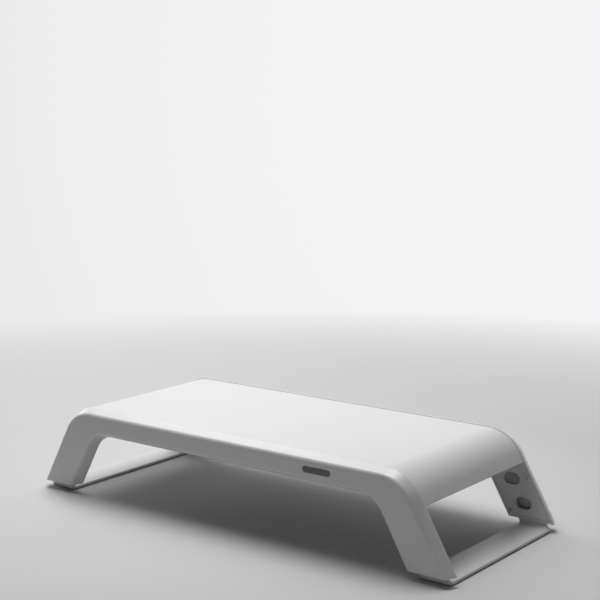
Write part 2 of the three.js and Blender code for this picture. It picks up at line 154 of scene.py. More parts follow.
# Height latch
LATCH_PITCH = 28.5
UPPER_HOLE = 50.3
LATCH_HEIGHTS = (UPPER_HOLE, UPPER_HOLE - LATCH_PITCH * math.cos(LEAN))
HOLE_OVAL = (19.0, 12.7)
HOLE_EDGE = 0.35
UPRIGHT_OVAL = (18.6, 12.3)
UPRIGHT_HOLE_EDGE = 0.2
BUTTON_OVAL = (17.8, 11.5)
FLANGE_OVAL = (21.0, 15.0)
FLANGE_THICKNESS = 1.2
RIVET_HEIGHT = 66.3
RIVET_HOLE = 1.6
SPRING_THICKNESS = 0.5
SPRING_HALF_WIDTH = 4.0
SPRING_REACH = 3.3
SPRING_TOP = 69.6
SPRING_BOTTOM = 47.0
SPRING_BENDS = (62.0, 58.2)

# Inlay
BADGE_OVAL = (34.0, 6.0)
BADGE_X = 123.0
BADGE_HEIGHT = 86.9
BADGE_THICKNESS = 0.5
BADGE_POCKET_DEPTH = 0.8

TAN_LEAN = math.tan(LEAN)
COS_LEAN = math.cos(LEAN)


# ---------- outlines ----------


def leg_outer(height, grow=0.0):
    return HALF_SPAN + grow / COS_LEAN - (height - LEG_BOTTOM) * TAN_LEAN


def leg_inner(height, grow=0.0):
    return HALF_SPAN - LEG_WIDTH - grow / COS_LEAN - (height - LEG_BOTTOM) * TAN_LEAN


def leg_centre(height):
    return (leg_outer(height) + leg_inner(height)) / 2


def outline(corners, steps=12):
    """Points round a closed outline through corners (x, y) or (x, y, bend radius)."""
    points = []
    count = len(corners)
    for i, corner in enumerate(corners):
        here = Vector(corner[:2])
        bend = corner[2] if len(corner) > 2 else 0
        if not bend:
            points.append(here)
            continue
        back = (Vector(corners[i - 1][:2]) - here).normalized()
        ahead = (Vector(corners[(i + 1) % count][:2]) - here).normalized()
        half_angle = back.angle(ahead) / 2
        centre = here + (back + ahead).normalized() * bend / math.sin(half_angle)
        start = here + back * bend / math.tan(half_angle) - centre
        turn = math.pi - 2 * half_angle
        if back.x * ahead.y - back.y * ahead.x > 0:
            turn = -turn
        for k in range(steps + 1):
            angle = turn * k / steps
            cos, sin = math.cos(angle), math.sin(angle)
            turned_x = start.x * cos - start.y * sin
            points.append(centre + Vector((turned_x, start.x * sin + start.y * cos)))
    return points


def oval(size, x=0.0, y=0.0, grow=0.0, steps=14):
    width, height = size[0] + 2 * grow, size[1] + 2 * grow
    radius = height / 2
    reach = width / 2 - radius
    points = []
    for side, first in ((1, -90), (-1, 90)):
        for k in range(steps + 1):
            angle = math.radians(first + 180 * k / steps)
            across = x + side * reach + radius * math.cos(angle)
            points.append(Vector((across, y + radius * math.sin(angle))))
    return points


def circle(radius, x=0.0, y=0.0, steps=32):
    angles = [2 * math.pi / steps * k for k in range(steps)]
    return [Vector((x + radius * math.cos(angle), y + radius * math.sin(angle))) for angle in angles]


def rounded_rectangle(width, height, corner, steps=8):
    x, y = width / 2, height / 2
    return outline([(x, -y, corner), (x, y, corner), (-x, y, corner), (-x, -y, corner)], steps)


def grown(points, distance):
    """The same outline with every edge moved out. The points go anticlockwise."""
    moved = []
    for i, here in enumerate(points):
        before = (here - points[i - 1]).normalized()
        after = (points[(i + 1) % len(points)] - here).normalized()
        out_before = Vector((before.y, -before.x))
        out_after = Vector((after.y, -after.x))
        mitre = (out_before + out_after).normalized()
        moved.append(here + mitre * distance / mitre.dot(out_before))
    return moved


def clipped(points, axis, limit, keep_below):
    """The part of an outline on one side of a level."""
    sign = 1 if keep_below else -1
    kept = []
    for i, here in enumerate(points):
        before = points[i - 1]
        inside = (limit - here[axis]) * sign >= 0
        was_inside = (limit - before[axis]) * sign >= 0
        if inside != was_inside:
            t = (limit - before[axis]) / (here[axis] - before[axis])
            kept.append(before.lerp(here, t))
        if inside:
            kept.append(here)
    return kept


def arch_corners(grow_outer, grow_inner, rail_bottom, leg_bottom):
    top = RAIL_TOP + grow_outer
    outer_bend = OUTER_BEND + grow_outer
    inner_bend = INNER_BEND - grow_inner
    right = [
        (leg_inner(leg_bottom, grow_inner), leg_bottom),
        (leg_outer(leg_bottom, grow_outer), leg_bottom),
        (leg_outer(top, grow_outer), top, outer_bend),
    ]
    left = [(-x, *rest) for x, *rest in reversed(right)]
    bends = [
        (-leg_inner(rail_bottom, grow_inner), rail_bottom, inner_bend),
        (leg_inner(rail_bottom, grow_inner), rail_bottom, inner_bend),
    ]
    return right + left + bends


def arch_outline(outer=0.0, inner=0.0, rail_bottom=None, leg_bottom=-10.0, steps=BEND_STEPS):
    """The arch seen from the front, with legs that run on below the floor, to be cut to length."""
    if rail_bottom is None:
        rail_bottom = RAIL_BOTTOM - inner
    return outline(arch_corners(outer, inner, rail_bottom, leg_bottom), steps)


# ---------- solids ----------

ALONG_Y = "along_y"
ALONG_Z = "along_z"


def place(point, level, direction):
    """A point of an outline, at a level along the direction in which the outline is extruded."""
    if direction == ALONG_Y:
        return (point.x, level, point.y)
    return (point.x, point.y, level)


def loft(rings):
    """A closed solid through rings of equally many points, capped at both ends."""
    bm = bmesh.new()
    loops = [[bm.verts.new(p) for p in ring] for ring in rings]
    for low, high in zip(loops, loops[1:]):
        for i in range(len(low)):
            j = (i + 1) % len(low)
            bm.faces.new((low[i], low[j], high[j], high[i]))
    bm.faces.new(loops[0])
    bm.faces.new(loops[-1])
    bmesh.ops.recalc_face_normals(bm, faces=bm.faces)
    return bm


def rounded_levels(low, high, radius, steps=3):
    """(inset, level) pairs for a quarter round at each end."""
    first = []
    for k in range(steps + 1):
        angle = math.pi / 2 * k / steps
        first.append((radius * (1 - math.sin(angle)), radius * (1 - math.cos(angle))))
    last = [(inset, high - rise) for inset, rise in reversed(first)]
    return [(inset, low + rise) for inset, rise in first] + last


def prism(points, low, high, direction=ALONG_Y, edge=0.0, steps=3):
    if not edge:
        levels = [(0.0, low), (0.0, high)]
    else:
        levels = rounded_levels(low, high, edge, steps)
    return loft([[place(p, level, direction) for p in grown(points, -inset)] for inset, level in levels])


def hole_cutter(shape, low, high, edge, direction=ALONG_Y):
    """A cutter that leaves a rounded rim where a hole meets the faces at low and high."""
    levels = [(edge, low - CUT_BEYOND), *rounded_levels(low, high, edge), (edge, high + CUT_BEYOND)]
    return loft([[place(p, level, direction) for p in shape(grow)] for grow, level in levels])


def block(x, y, z, edge=0.0):
    corners = [Vector((x[0], y[0])), Vector((x[1], y[0])), Vector((x[1], y[1])), Vector((x[0], y[1]))]
    return prism(corners, z[0], z[1], ALONG_Z, edge)


def sideways(points, x_low, x_high, edge=0.0, steps=2):
    """An outline in (y, z), extruded along X."""
    bm = prism(points, x_low, x_high, ALONG_Z, edge, steps)
    bm.transform(Matrix(((0, 0, 1, 0), (1, 0, 0, 0), (0, 1, 0, 0), (0, 0, 0, 1))))
    return bm


def leaned(bm):
    """Moves a shape drawn about x = 0 onto the right leg."""
    shear = Matrix.Identity(4)
    shear[0][2] = -TAN_LEAN
    shear[0][3] = leg_centre(0)
    bm.transform(shear)
    return bm


def reflected(bm, side_x=1, side_y=1):
    copy = bm.copy()
    copy.transform(Matrix.Diagonal((side_x, side_y, 1, 1)))
    if side_x * side_y < 0:
        bmesh.ops.reverse_faces(copy, faces=copy.faces)
    return copy


def at_depth(depth):
    return depth - HALF_DEPTH


def depths(start, end):
    return (at_depth(start), at_depth(end))


def cut_level(bm, height):
    """Cuts off what is below a height and closes the solid. Returns the edges of the new face."""
    normal = (0, 0, 1)
    whole = bm.verts[:] + bm.edges[:] + bm.faces[:]
    level = (0, 0, height)
    bmesh.ops.bisect_plane(bm, geom=whole, plane_co=level, plane_no=normal, clear_inner=True)
    rim = [e for e in bm.edges if e.is_boundary]
    bmesh.ops.holes_fill(bm, edges=rim)
    return rim


def temporary(bm):
    mesh = bpy.data.meshes.new("temporary")
    bm.to_mesh(mesh)
    bm.free()
    thing = bpy.data.objects.new("temporary", mesh)
    bpy.context.scene.collection.objects.link(thing)
    return thing


def combined(body, tools, operation):
    """body joined with every tool, or with every tool cut away, as one closed solid."""
    target = temporary(body)
    group = bpy.data.collections.new("tools")
    bpy.context.scene.collection.children.link(group)
    things = [temporary(tool) for tool in tools]
    for thing in things:
        group.objects.link(thing)
    modifier = target.modifiers.new("combine", "BOOLEAN")
    modifier.operation = operation
    modifier.solver = "EXACT"
    modifier.operand_type = "COLLECTION"
    modifier.collection = group
    evaluated = target.evaluated_get(bpy.context.evaluated_depsgraph_get())
    result = bmesh.new()
    result.from_mesh(evaluated.to_mesh())
    evaluated.to_mesh_clear()
    for thing in [target, *things]:
        mesh = thing.data
        bpy.data.objects.remove(thing)
        bpy.data.meshes.remove(mesh)
    bpy.data.collections.remove(group)
    return result


def joined(body, tools):
    return combined(body, tools, "UNION")


def carved(body, tools):
    return combined(body, tools, "DIFFERENCE")


def piece(name, bm, material, body, replaces, sharp_angle=32):
    """A finished piece: scaled to metres, smooth except at real edges, riding on its body."""
    bmesh.ops.remove_doubles(bm, verts=bm.verts, dist=1e-4)
    bmesh.ops.dissolve_degenerate(bm, edges=bm.edges, dist=1e-4)
    bm.transform(Matrix.Scale(MM, 4))
    mesh = bpy.data.meshes.new(name)
    bm.to_mesh(mesh)
    bm.free()
    mesh.shade_smooth()
    mesh.set_sharp_from_angle(angle=math.radians(sharp_angle))
    mesh.materials.append(material)
    thing = bpy.data.objects.new(name, mesh)
    bpy.context.scene.collection.objects.link(thing)
    weighting = thing.modifiers.new("even_shading", "WEIGHTED_NORMAL")
    weighting.keep_sharp = True
    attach(thing, body)
    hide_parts(replaces)
    return thing


# ---------- materials ----------


class Nodes:
    """A short way to write a material's nodes."""

    def __init__(self, name):
        self.material = bpy.data.materials.new(name)
        self.material.use_nodes = True
        self.tree = self.material.node_tree
        self.shader = self.tree.nodes["Principled BSDF"]
        self.where = self.add("ShaderNodeTexCoord").outputs["Object"]

    def add(self, kind, **settings):
        node = self.tree.nodes.new(kind)
        for key, value in settings.items():
            setattr(node, key, value)
        return node

    def link(self, output, node, socket):
        self.tree.links.new(output, node.inputs[socket])

    def noise(self, scale, detail=2.0, roughness=0.5, stretch=None):
        node = self.add("ShaderNodeTexNoise")
        node.inputs["Scale"].default_value = scale
        node.inputs["Detail"].default_value = detail
        node.inputs["Roughness"].default_value = roughness
        where = self.where
        if stretch:
            mapping = self.add("ShaderNodeMapping")
            mapping.inputs["Scale"].default_value = stretch
            self.link(where, mapping, "Vector")
            where = mapping.outputs["Vector"]
        self.link(where, node, "Vector")
        return node.outputs["Fac"]

    def ranged(self, value, low_in, high_in, low_out, high_out):
        node = self.add("ShaderNodeMapRange")
        for socket, number in (
            ("From Min", low_in), ("From Max", high_in), ("To Min", low_out), ("To Max", high_out),
        ):
            node.inputs[socket].default_value = number
        self.link(value, node, "Value")
        return node.outputs["Result"]

    def mixed(self, factor, first, second):
        node = self.add("ShaderNodeMix", data_type="RGBA")
        node.inputs["A"].default_value = (*first, 1)
        node.inputs["B"].default_value = (*second, 1)
        self.link(factor, node, "Factor")
        return node.outputs["Result"]

    def bump(self, height, strength, distance, under=None):
        node = self.add("ShaderNodeBump")
        node.inputs["Strength"].default_value = strength
        node.inputs["Distance"].default_value = distance
        self.link(height, node, "Height")
        if under:
            self.link(under, node, "Normal")
        return node.outputs["Normal"]


def moulded_plastic(name, colour, worn, roughness, grain=0.00003):
    """Injection-moulded plastic: fine grain, faint flow waves, rubbed patches and a slight yellowing."""
    n = Nodes(name)
    fine = n.noise(2600.0, 3.0, 0.6)
    waves = n.noise(26.0, 2.0, 0.5)
    rubbed = n.noise(9.0, 4.0, 0.62)
    scuffs = n.noise(240.0, 5.0, 0.7, stretch=(1.0, 0.08, 1.0))
    tint = n.ranged(rubbed, 0.35, 0.75, 0.0, 0.6)
    n.link(n.mixed(tint, colour, worn), n.shader, "Base Color")
    base = n.ranged(rubbed, 0.3, 0.75, roughness + 0.04, roughness - 0.06)
    marks = n.ranged(scuffs, 0.62, 0.72, 0.0, -0.07)
    total = n.add("ShaderNodeMath", operation="ADD")
    n.link(base, total, 0)
    n.link(marks, total, 1)
    n.link(total.outputs["Value"], n.shader, "Roughness")
    broad = n.bump(waves, 0.25, 0.0002)
    n.link(n.bump(fine, 0.55, grain, under=broad), n.shader, "Normal")
    n.shader.inputs["IOR"].default_value = 1.49
    return n.material


def moulded_rubber(name):
    n = Nodes(name)
    fine = n.noise(1500.0, 4.0, 0.65)
    dust = n.noise(60.0, 5.0, 0.7)
    dusty = n.ranged(dust, 0.5, 0.75, 0.0, 0.55)
    n.link(n.mixed(dusty, (0.012, 0.012, 0.013), (0.05, 0.048, 0.045)), n.shader, "Base Color")
    n.link(n.ranged(dust, 0.3, 0.7, 0.72, 0.92), n.shader, "Roughness")
    n.link(n.bump(fine, 0.7, 0.00006), n.shader, "Normal")
    n.shader.inputs["IOR"].default_value = 1.5
    return n.material


def plated_steel(name):
    n = Nodes(name)
    streaks = n.noise(900.0, 3.0, 0.6, stretch=(0.15, 1.0, 1.0))
    clouds = n.noise(260.0, 3.0, 0.55)
    dulled = n.ranged(clouds, 0.35, 0.7, 0.0, 0.7)
    n.link(n.mixed(dulled, (0.58, 0.59, 0.61), (0.42, 0.42, 0.42)), n.shader, "Base Color")
    n.link(n.ranged(streaks, 0.3, 0.7, 0.24, 0.42), n.shader, "Roughness")
    n.link(n.bump(streaks, 0.3, 0.00002), n.shader, "Normal")
    n.shader.inputs["Metallic"].default_value = 1.0
    return n.material


WHITE = moulded_plastic("white_shell", (0.594, 0.598, 0.606), (0.581, 0.575, 0.566), 0.34)
OFF_WHITE = moulded_plastic("foot_shell", (0.57, 0.573, 0.58), (0.555, 0.55, 0.54), 0.36)
DARK = moulded_plastic("dark_plastic", (0.11, 0.113, 0.118), (0.14, 0.14, 0.14), 0.50, 0.00002)
GREY = moulded_plastic("grey_plastic", (0.30, 0.303, 0.31), (0.33, 0.33, 0.325), 0.48, 0.00002)
RUBBER = moulded_rubber("black_rubber")
STEEL = plated_steel("zinc_plated_steel")


# ---------- arches ----------


def fillet_between(before, corner, after, radius, steps=4):
    """Points (grow, depth) that round a corner of the arch's section."""
    here = Vector(corner)
    back = (Vector(before) - here).normalized()
    ahead = (Vector(after) - here).normalized()
    half_angle = back.angle(ahead) / 2
    centre = here + (back + ahead).normalized() * radius / math.sin(half_angle)
    start = here + back * radius / math.tan(half_angle) - centre
    turn = math.pi - 2 * half_angle
    if back.x * ahead.y - back.y * ahead.x > 0:
        turn = -turn
    points = []
    for k in range(steps + 1):
        cos, sin = math.cos(turn * k / steps), math.sin(turn * k / steps)
        grow = centre.x + start.x * cos - start.y * sin
        points.append((grow, centre.y + start.x * sin + start.y * cos))
    return points


def arch_loft(section):
    rings = []
    for grow, depth in section:
        points = arch_outline(grow, grow)
        rings.append([(p.x, at_depth(depth), p.y) for p in points])
    return loft(rings)


def leg_fittings():
    """Inside the right leg: guides and a stop for the upright, and bosses for the cover's screws."""
    slot = UPRIGHT_WIDTH / 2 + GAP
    height = (LEG_BOTTOM + 1, GUIDE_TOP)
    to_cover = depths(1, COVER_DEPTH - GAP)
    to_upright = depths(1, FOOT_DEPTH - GAP)
    parts = []
    for side in (-1, 1):
        rib = sorted((side * slot, side * (slot + GUIDE_RIB)))
        ledge = sorted((side * (slot - GUIDE_LEDGE), side * (slot + GUIDE_LEDGE_OVERLAP)))
        parts.append(leaned(block(rib, to_cover, height)))
        parts.append(leaned(block(ledge, to_upright, height)))
    stop = (UPRIGHT_TOP + GAP, UPRIGHT_TOP + GAP + STOP_HEIGHT)
    parts.append(leaned(block((-slot, slot), to_cover, stop)))
    for offset, level in COVER_SCREWS:
        boss = circle(COVER_BOSS_RADIUS, leg_centre(level) + offset, level)
        parts.append(prism(boss, *depths(COVER_BOSS_DEPTH, COVER_DEPTH - GAP)))
    return parts


def leg_cuts():
    """The slot in the leg's end that the upright comes out of, and the pilots for the cover's screws."""
    slot = UPRIGHT_WIDTH / 2 + GAP
    parts = [leaned(block((-slot, slot), depths(FOOT_DEPTH - GAP, UPRIGHT_BACK + GAP), (0, SLOT_TOP)))]
    for offset, height in COVER_SCREWS:
        pilot = circle(COVER_SCREW["shank"] + GAP, leg_centre(height) + offset, height, 20)
        parts.append(prism(pilot, *depths(COVER_PILOT_DEPTH, ARCH_DEPTH)))
    return parts


def on_both_sides(parts):
    return parts + [reflected(part, -1, 1) for part in parts]


def arch_shell():
    """The bevelled front member as a solid, with its legs cut level."""
    front, ridge, back = (0, 0), (FLARE, FLARE_DEPTH), (FLARE, ARCH_DEPTH)
    section = fillet_between((-1, 0), front, ridge, FACE_RADIUS, 5)
    section += fillet_between(front, ridge, back, RIDGE_RADIUS, 3)
    section += fillet_between((FLARE, 0), back, (0, ARCH_DEPTH), BACK_RADIUS, 3)
    body = arch_loft(section)
    rim = cut_level(body, LEG_BOTTOM)
    bmesh.ops.bevel(body, geom=rim, offset=LEG_END_RADIUS, segments=3, profile=0.5, affect="EDGES")
    return body


def arch_hollow():
    """The space inside the arch, with a rebate for the leg covers at its open back."""
    rebate_start = COVER_DEPTH - GAP
    cavity_rise = FLARE * (rebate_start - WALL) / FLARE_DEPTH
    hollow = arch_loft([
        (REBATE_GROW + 0.4, ARCH_DEPTH + CUT_BEYOND),
        (REBATE_GROW + 0.3, ARCH_DEPTH),
        (REBATE_GROW, ARCH_DEPTH - 0.3),
        (REBATE_GROW, rebate_start),
        (cavity_rise - WALL, rebate_start),
        (-WALL + 0.2, WALL + 0.48),
        (-WALL - 0.4, WALL),
    ])
    cut_level(hollow, LEG_BOTTOM + WALL)
    return hollow


def arch(with_badge):
    """The front arch, hollow, with tabs for the deck's screws and, where wanted, the inlay's pocket."""
    tabs = []
    tab_cuts = []
    for x in TAB_SCREW_X:
        across = (x - TAB_HALF_WIDTH, x + TAB_HALF_WIDTH)
        tabs.append(block(across, depths(*TAB_DEPTHS), TAB_HEIGHTS, TAB_EDGE))

        def ring(grow, x=x):
            return circle(TAB_SCREW["shank"] + 2 * GAP + grow, x, at_depth(TAB_SCREW_DEPTH), 24)

        tab_cuts.append(hole_cutter(ring, *TAB_HEIGHTS, TAB_HOLE_EDGE, ALONG_Z))
    body = carved(arch_shell(), [arch_hollow()])
    body = joined(body, on_both_sides(leg_fittings()) + tabs)
    cuts = on_both_sides(leg_cuts()) + tab_cuts
    if with_badge:
        cuts.append(badge_pocket())
    return carved(body, cuts)


# ---------- deck ----------


def skin():
    """The deck's curved plate, which ends in a lip on either side."""

    def edge(grow, lip_radius):
        top = RAIL_TOP + grow
        bend = OUTER_BEND + grow
        return [
            (-leg_outer(LIP_HEIGHT, grow), LIP_HEIGHT, lip_radius),
            (-leg_outer(top, grow), top, bend),
            (leg_outer(top, grow), top, bend),
            (leg_outer(LIP_HEIGHT, grow), LIP_HEIGHT, lip_radius),
        ]

    corners = edge(SKIN_GROW, LIP_RADIUS) + edge(SKIN_GROW - SKIN, LIP_INNER_RADIUS)[::-1]
    points = outline(corners, BEND_STEPS)[::-1]
    return prism(points, -DECK_HALF_LENGTH, DECK_HALF_LENGTH, ALONG_Y, DECK_EDGE)


def wall_under_skin(rail_bottom, inner, y_low, y_high):
    """A wall that follows the skin's bends and is rooted half way into it."""
    whole = arch_outline(SKIN_GROW - SKIN / 2, inner, rail_bottom, 0.0, 16)
    above_lip = clipped(whole, 1, LIP_HEIGHT + 0.5, keep_below=False)
    return prism(above_lip, y_low, y_high, ALONG_Y, RIB_EDGE, 2)


def deck():
    """The skin on a grid of ribs, with bosses for the screws that hold it to the arches."""
    end = DECK_HALF_LENGTH
    under_skin = RAIL_TOP + SKIN_GROW - SKIN + 1
    parts = [
        wall_under_skin(END_WALL_BOTTOM, 0, -end + END_WALL_SETBACK, -end + RIB),
        wall_under_skin(END_WALL_BOTTOM, 0, end - RIB, end - END_WALL_SETBACK),
    ]
    for y in LONG_RIB_Y:
        parts.append(wall_under_skin(LONG_RIB_BOTTOM, -LONG_RIB_INSET, y - RIB / 2, y + RIB / 2))
    along = (-end + CROSS_RIB_SETBACK, end - CROSS_RIB_SETBACK)
    for x in CROSS_RIB_X:
        across = (x - RIB / 2, x + RIB / 2)
        parts.append(block(across, along, (CROSS_RIB_BOTTOM, under_skin), RIB_EDGE))
    pilots = []
    bottom = TAB_HEIGHTS[1] + GAP
    for x in TAB_SCREW_X:
        for side in (-1, 1):
            y = side * (HALF_DEPTH - TAB_SCREW_DEPTH)
            parts.append(prism(circle(BOSS_RADIUS, x, y), bottom, under_skin, ALONG_Z, BOSS_EDGE))
            pilot = circle(TAB_SCREW["shank"] + GAP, x, y, 20)
            pilots.append(prism(pilot, bottom - CUT_BEYOND, PILOT_TOP, ALONG_Z))
    return carved(joined(skin(), parts), pilots)


# ---------- leg covers ----------


def latch_hole(size, height, start, end, edge):
    """A cutter for an oval latch hole in the right leg, between two depths."""

    def ring(grow):
        return oval(size, leg_centre(height), height, grow)

    return hole_cutter(ring, *depths(start, end), edge)


def leg_cover():
    grow = REBATE_GROW - GAP
    rail_bottom = RAIL_BOTTOM - grow
    corners = arch_corners(grow, grow, rail_bottom, LEG_BOTTOM + WALL + GAP)
    inner_foot, outer_foot, outer_bend, inner_bend = corners[0], corners[1], corners[2], corners[7]
    right = [inner_foot, outer_foot, outer_bend, (0, outer_bend[1]), (0, rail_bottom), inner_bend]
    points = clipped(outline(right, BEND_STEPS), 1, LIP_HEIGHT - GAP, keep_below=True)
    body = prism(points, *depths(COVER_DEPTH, ARCH_DEPTH), ALONG_Y, COVER_EDGE)
    cuts = [latch_hole(HOLE_OVAL, z, COVER_DEPTH, ARCH_DEPTH, HOLE_EDGE) for z in LATCH_HEIGHTS]
    for offset, height in COVER_SCREWS:
        x = leg_centre(height) + offset

        def ring(extra, x=x, z=height):
            return circle(COVER_SCREW["shank"] + GAP + extra, x, z, 20)

        cuts.append(hole_cutter(ring, *depths(COVER_DEPTH, ARCH_DEPTH), COVER_SCREW_HOLE_EDGE))
    return carved(body, cuts)


# ---------- foot frames ----------


def upright():
    """The front right upright, seen from the side, filleted into the bar at its foot."""
    front = at_depth(FOOT_DEPTH)
    back = at_depth(UPRIGHT_BACK)
    fillet_end = back + UPRIGHT_FILLET + 0.5
    side = outline([
        (front + 0.7, UPRIGHT_BASE),
        (front + 0.35, FOOT_TOP, UPRIGHT_TOE_ROUND),
        (front, FOOT_TOP + 1.2, UPRIGHT_TOE_ROUND),
        (front, UPRIGHT_TOP, UPRIGHT_CORNER),
        (back, UPRIGHT_TOP, UPRIGHT_CORNER),
        (back, FOOT_TOP, UPRIGHT_FILLET),
        (fillet_end, FOOT_TOP),
        (fillet_end, UPRIGHT_BASE),
    ], 8)[::-1]
    body = leaned(sideways(side, -UPRIGHT_WIDTH / 2, UPRIGHT_WIDTH / 2, UPRIGHT_EDGE))
    thickness = (FOOT_DEPTH, UPRIGHT_BACK)
    cuts = [latch_hole(UPRIGHT_OVAL, z, *thickness, UPRIGHT_HOLE_EDGE) for z in LATCH_HEIGHTS]
    rivet_hole = circle(RIVET_HOLE, leg_centre(RIVET_HEIGHT), RIVET_HEIGHT, 20)
    cuts.append(prism(rivet_hole, *depths(FOOT_DEPTH - CUT_BEYOND, UPRIGHT_BACK + CUT_BEYOND)))
    return carved(body, cuts)


def under_leg(bm):
    """Moves a shape drawn about x = 0 below the right leg, where the foot's bar runs."""
    bm.transform(Matrix.Translation((leg_centre(FOOT_MIDDLE_HEIGHT), 0, 0)))
    return bm


def foot_outline(inset=0.0):
    length = 2 * (HALF_DEPTH - FOOT_DEPTH - inset)
    return rounded_rectangle(FOOT_WIDTH - 2 * inset, length, FOOT_CORNER - inset)


def foot_frame():
    """The right foot: a bar with an upright at either end and a groove for the sole."""
    bar = prism(foot_outline(), FOOT_UNDERSIDE, FOOT_TOP, ALONG_Z, FOOT_EDGE, 4)
    front = upright()
    body = joined(under_leg(bar), [reflected(front, 1, -1), front])
    room = foot_outline(SOLE_INSET - GAP)
    groove = prism(room, FOOT_UNDERSIDE - CUT_BEYOND, SOLE_TOP + GAP, ALONG_Z)
    return carved(body, [under_leg(groove)])


def sole():
    body = prism(foot_outline(SOLE_INSET), 0, SOLE_TOP, ALONG_Z, SOLE_EDGE)
    across = (-SOLE_GROOVE_HALF_LENGTH, SOLE_GROOVE_HALF_LENGTH)
    grooves = []
    for k in range(SOLE_GROOVES):
        y = (k - (SOLE_GROOVES - 1) / 2) * SOLE_GROOVE_SPACING
        along = (y - SOLE_GROOVE_HALF_WIDTH, y + SOLE_GROOVE_HALF_WIDTH)
        grooves.append(block(across, along, (-CUT_BEYOND, SOLE_GROOVE_DEPTH)))
    return under_leg(carved(body, grooves))


# ---------- latch ----------


def latch_button():
    """An oval push button with a dished face, on a flange that holds it behind the upright."""
    face = UPRIGHT_BACK - 0.1
    flange_back = FOOT_DEPTH - GAP
    # (outline, depth, growth), from the flange's front to the middle of the dished face
    levels = [
        (FLANGE_OVAL, flange_back - FLANGE_THICKNESS, -0.2),
        (FLANGE_OVAL, flange_back - FLANGE_THICKNESS + 0.2, 0.0),
        (FLANGE_OVAL, flange_back, 0.0),
        (BUTTON_OVAL, flange_back, 0.0),
        (BUTTON_OVAL, face - 0.6, 0.0),
        (BUTTON_OVAL, face - 0.3, -0.08),
        (BUTTON_OVAL, face - 0.08, -0.3),
        (BUTTON_OVAL, face, -0.6),
        (BUTTON_OVAL, face, -0.9),
        (BUTTON_OVAL, face - 0.12, -1.3),
        (BUTTON_OVAL, face - 0.35, -2.2),
        (BUTTON_OVAL, face - 0.5, -3.4),
        (BUTTON_OVAL, face - 0.55, -4.8),
    ]
    rings = []
    for size, depth, grow in levels:
        points = oval(size, leg_centre(UPPER_HOLE), UPPER_HOLE, grow)
        rings.append([place(p, at_depth(depth), ALONG_Y) for p in points])
    return loft(rings)


def latch_spring():
    """A leaf spring, held to the upright at its root and bent away from it behind the button."""
    root = at_depth(FOOT_DEPTH - GAP)
    tip = root - SPRING_REACH
    upper_bend, lower_bend = SPRING_BENDS
    side = outline([
        (root, SPRING_TOP),
        (root - SPRING_THICKNESS, SPRING_TOP),
        (root - SPRING_THICKNESS, upper_bend + 0.2, 1.5),
        (tip - SPRING_THICKNESS, lower_bend + 0.2, 1.0),
        (tip - SPRING_THICKNESS, SPRING_BOTTOM),
        (tip, SPRING_BOTTOM),
        (tip, lower_bend, 1.5),
        (root, upper_bend, 1.0),
    ], 5)
    body = leaned(sideways(side, -SPRING_HALF_WIDTH, SPRING_HALF_WIDTH, 0.08))
    rivet_hole = circle(RIVET_HOLE, leg_centre(RIVET_HEIGHT), RIVET_HEIGHT, 24)
    return carved(body, [prism(rivet_hole, *depths(FOOT_DEPTH - 3, FOOT_DEPTH + 3))])


# ---------- fasteners ----------


def turned(profile, steps=32):
    """A solid of revolution about Z through (radius, height) pairs, closed by a flat at each end."""
    return loft([[(p.x, p.y, z) for p in circle(r, 0, 0, steps)] for r, z in profile])


def threaded_shank(radius, length, pitch, steps=24, rings_per_turn=6):
    """A shank whose surface rises and falls in a helix, tapering to its tip."""
    rings = []
    count = int(length / pitch * rings_per_turn)
    for k in range(count + 1):
        z = length * k / count
        taper = min(1.0, (length - z) / (TIP_TURNS * pitch) + TIP_SHARE)
        ring = []
        for i in range(steps):
            angle = 2 * math.pi * i / steps
            phase = (z / pitch - i / steps) % 1.0
            crest = max(0.0, 1 - abs(phase - 0.5) * THREAD_SLOPE)
            r = (radius - THREAD_DEPTH + THREAD_DEPTH * crest) * taper
            ring.append((r * math.cos(angle), r * math.sin(angle), z - SHANK_ROOT))
        rings.append(ring)
    return loft(rings)


def screw(size):
    """A pan-head screw pointing up from z = 0, with a six-sided socket in its head."""
    head, tall = size["head"], size["head_height"]
    cap = turned([
        (head * 0.80, -tall),
        (head * 0.90, -tall * 0.95),
        (head * 0.97, -tall * 0.82),
        (head, -tall * 0.62),
        (head, -0.12),
        (head - 0.12, 0),
    ], 40)
    shank = threaded_shank(size["shank"], size["length"], size["pitch"])
    socket = turned([
        (head * 0.52, -tall - CUT_BEYOND),
        (head * 0.52, -tall),
        (head * 0.45, -tall + 0.12),
        (head * 0.45, -tall * 0.3),
    ], 6)
    return carved(joined(cap, [shank]), [socket])


def rivet():
    """A domed rivet pointing up from z = 0, with a softened end."""
    return turned([
        (0.6, -1.0),
        (1.3, -0.93),
        (1.9, -0.7),
        (2.3, -0.35),
        (2.4, 0),
        (1.3, 0),
        (1.3, 3.1),
        (1.1, 3.3),
    ])


# ---------- inlay ----------


def badge_loft(levels):
    """A solid round the inlay's outline, through (growth, depth) pairs."""
    rings = []
    for grow, depth in levels:
        points = oval(BADGE_OVAL, BADGE_X, BADGE_HEIGHT, grow)
        rings.append([place(p, at_depth(depth), ALONG_Y) for p in points])
    return loft(rings)


def badge():
    return badge_loft([(-0.7, 0.0), (-0.3, 0.04), (-0.1, 0.12), (0.0, 0.26), (0.0, BADGE_THICKNESS)])


def badge_pocket():
    """The cutter for the pocket that the inlay lies in, with a softened rim."""
    return badge_loft([
        (GAP + 0.25, -CUT_BEYOND),
        (GAP + 0.25, 0),
        (GAP + 0.08, 0.08),
        (GAP, 0.25),
        (GAP, BADGE_POCKET_DEPTH),
    ])


# ---------- assembly ----------

ENDS = (("front", -1), ("rear", 1))
SIDES = (("left", -1), ("right", 1))

